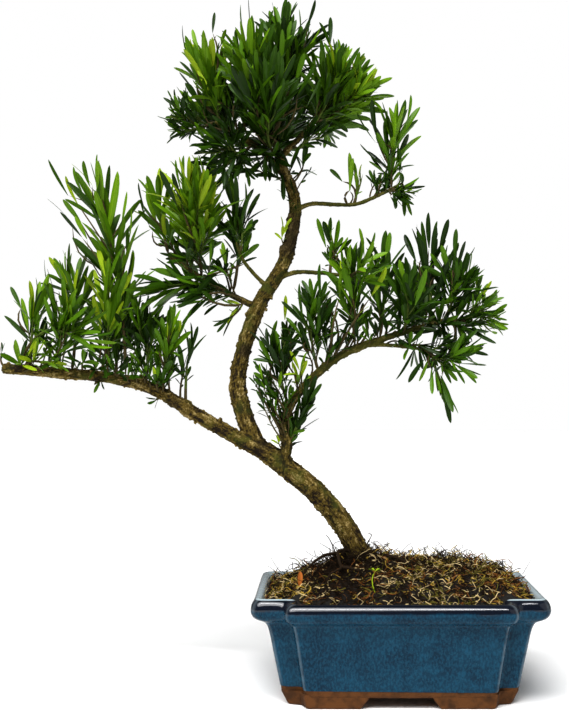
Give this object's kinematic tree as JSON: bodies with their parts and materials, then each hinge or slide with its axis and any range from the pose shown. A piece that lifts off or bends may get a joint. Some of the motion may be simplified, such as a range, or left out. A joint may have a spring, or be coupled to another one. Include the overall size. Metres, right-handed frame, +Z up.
{
  "type": "potted buddhist pine bonsai",
  "caption": "Potted bonsai evergreen: a leaning trunk with an S-curved leader, long side boughs and sprays of strap leaves, in a blue glazed rectangular pot with stepped-in corners.",
  "frame": {"origin": "on the table under the middle of the whole object's box", "axes": "+Z up; +X along the pot's long side, the side that the long left bough leans away from; +Y to the back, along the pot's short side"},
  "size_m": [0.3798, 0.155, 0.4874],
  "materials": {
    "glaze": "mottled dark blue gloss glaze, near black on the lip",
    "bare_clay": "matte unglazed red-brown clay",
    "soil": "dark peat with dry moss strands",
    "bark": "flaky grey-brown bark",
    "foliage": "satin green leaves, yellow-green on young shoots"
  },
  "bodies": {
    "root": {"pot": "glaze", "pot_base": "bare_clay", "soil": "soil", "trunk": "bark", "leader": "bark", "left_bough": "bark", "right_bough": "bark", "low_right_branch": "bark", "left_upper_branch": "bark", "left_twig": "bark", "mid_right_branch": "bark", "upper_right_branch": "bark", "crown_left_limb": "bark", "crown_right_limb": "bark", "crown_back_spray": "foliage", "crown_front_spray": "foliage", "crown_left_back_spray": "foliage", "crown_left_high_spray": "foliage", "crown_left_low_spray": "foliage", "crown_left_under_spray": "foliage", "crown_right_back_spray": "foliage", "crown_right_high_spray": "foliage", "crown_right_side_spray": "foliage", "crown_right_under_spray": "foliage", "crown_top_left_spray": "foliage", "crown_top_spray": "foliage", "left_back_spray": "foliage", "left_centre_spray": "foliage", "left_end_spray": "foliage", "left_front_spray": "foliage", "left_inner_spray": "foliage", "left_near_spray": "foliage", "left_outer_spray": "foliage", "left_stub_spray": "foliage", "left_tall_spray": "foliage", "left_thin_spray": "foliage", "left_twig_spray": "foliage", "mid_right_end_spray": "foliage", "mid_right_high_spray": "foliage", "right_back_spray": "foliage", "right_crest_spray": "foliage", "right_droop_low_spray": "foliage", "right_droop_side_spray": "foliage", "right_end_spray": "foliage", "right_front_spray": "foliage", "right_inner_spray": "foliage", "right_low_spray": "foliage", "right_middle_spray": "foliage", "right_rising_spray": "foliage", "right_shoulder_spray": "foliage", "right_tall_spray": "foliage", "upper_left_back_spray": "foliage", "upper_left_end_spray": "foliage", "upper_left_inner_spray": "foliage", "upper_left_side_spray": "foliage", "upper_left_tall_spray": "foliage", "upper_right_back_spray": "foliage", "upper_right_end_spray": "foliage", "upper_right_near_spray": "foliage", "upper_right_tall_spray": "foliage"}
  },
  "joints": []
}
